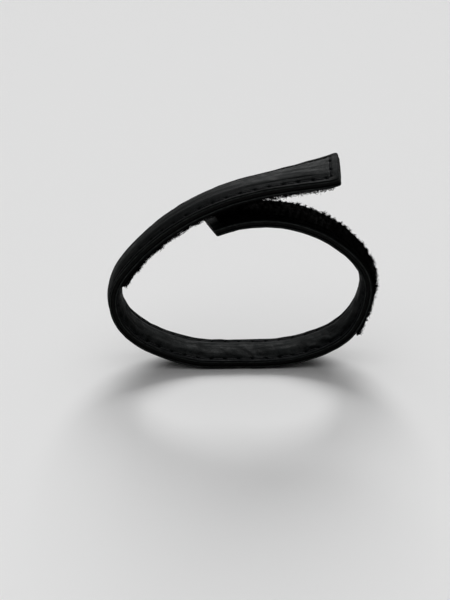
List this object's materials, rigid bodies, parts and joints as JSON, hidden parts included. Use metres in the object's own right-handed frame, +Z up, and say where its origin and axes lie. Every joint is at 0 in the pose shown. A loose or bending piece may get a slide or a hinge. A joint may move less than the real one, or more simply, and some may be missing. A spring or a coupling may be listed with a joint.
{
  "type": "esd wrist strap",
  "caption": "Stitched leather wrist band curled into an open loop, with a hook strip under its overlap flap and a pile strip on its underlap.",
  "frame": {"origin": "bottom centre of the part's box, on the surface that the band's outer face rests on", "axes": "+X towards the pile-strip side, along the loop; +Y across the band's width, away from the viewer; +Z up"},
  "size_m": [0.0914, 0.016, 0.0742],
  "materials": {
    "cover_leather": "black grained leather with a soft satin sheen",
    "lining_leather": "black carbon-loaded leather, matt, creased across the band",
    "core_foam": "dense black sponge board",
    "conductive_ribbon": "dark grey woven conductive yarn",
    "hook_tape": "black woven nylon tape",
    "hook_field": "black nylon hooks",
    "pile_tape": "black woven nylon tape",
    "pile_field": "very dark brushed loop pile",
    "seam_thread": "black bonded thread with a faint cool sheen"
  },
  "bodies": {
    "base": {"core_base": "core_foam", "lining_base": "lining_leather", "outer_cover_base": "cover_leather", "ribbon_base": "conductive_ribbon", "seam_inner_far_base": "seam_thread", "seam_inner_near_base": "seam_thread", "seam_outer_far_base": "seam_thread", "seam_outer_near_base": "seam_thread"},
    "shoulder": {"core_shoulder": "core_foam", "lining_shoulder": "lining_leather", "outer_cover_shoulder": "cover_leather", "ribbon_shoulder": "conductive_ribbon", "seam_inner_far_shoulder": "seam_thread", "seam_inner_near_shoulder": "seam_thread", "seam_outer_far_shoulder": "seam_thread", "seam_outer_near_shoulder": "seam_thread"},
    "flap": {"core_flap": "core_foam", "hook_field_flap": "hook_field", "hook_tape_flap": "hook_tape", "lining_flap": "lining_leather", "outer_cover_flap": "cover_leather", "seam_inner_far_flap": "seam_thread", "seam_inner_near_flap": "seam_thread", "seam_outer_far_flap": "seam_thread", "seam_outer_near_flap": "seam_thread"},
    "tip": {"core_tip": "core_foam", "hook_field_tip": "hook_field", "hook_tape_tip": "hook_tape", "lining_tip": "lining_leather", "outer_cover_tip": "cover_leather", "seam_cross_tip": "seam_thread", "seam_inner_far_tip": "seam_thread", "seam_inner_near_tip": "seam_thread", "seam_outer_far_tip": "seam_thread", "seam_outer_near_tip": "seam_thread"},
    "side": {"core_side": "core_foam", "lining_side": "lining_leather", "outer_cover_side": "cover_leather", "pile_field_side": "pile_field", "pile_tape_side": "pile_tape", "ribbon_side": "conductive_ribbon", "seam_inner_far_side": "seam_thread", "seam_inner_near_side": "seam_thread", "seam_outer_far_side": "seam_thread", "seam_outer_near_side": "seam_thread"},
    "underlap": {"core_underlap": "core_foam", "lining_underlap": "lining_leather", "outer_cover_underlap": "cover_leather", "pile_field_underlap": "pile_field", "pile_tape_underlap": "pile_tape", "seam_cross_underlap": "seam_thread", "seam_inner_far_underlap": "seam_thread", "seam_inner_near_underlap": "seam_thread", "seam_outer_far_underlap": "seam_thread", "seam_outer_near_underlap": "seam_thread"}
  },
  "joints": [
    {"name": "tip_lift", "type": "hinge", "parent": "flap", "child": "tip", "pos_m": [-0.00198, 0, 0.06464], "axis": [0, -1, 0], "range_deg": [-8, 60]},
    {"name": "flap_open", "type": "hinge", "parent": "shoulder", "child": "flap", "pos_m": [-0.04433, 0, 0.03219], "axis": [0, -1, 0], "range_deg": [0, 60]},
    {"name": "shoulder_bend", "type": "hinge", "parent": "base", "child": "shoulder", "pos_m": [-0.04305, 0, 0.0157], "axis": [0, -1, 0], "range_deg": [0, 60]},
    {"name": "side_curl", "type": "hinge", "parent": "base", "child": "side", "pos_m": [0.0348, 0, 0.01306], "axis": [0, -1, 0], "range_deg": [0, 12]},
    {"name": "underlap_curl", "type": "hinge", "parent": "side", "child": "underlap", "pos_m": [0.02839, 0, 0.04722], "axis": [0, -1, 0], "range_deg": [0, 20]}
  ],
  "couplings": [
    {"joint": "shoulder_bend", "follows": "flap_open", "ratio": 1}
  ]
}
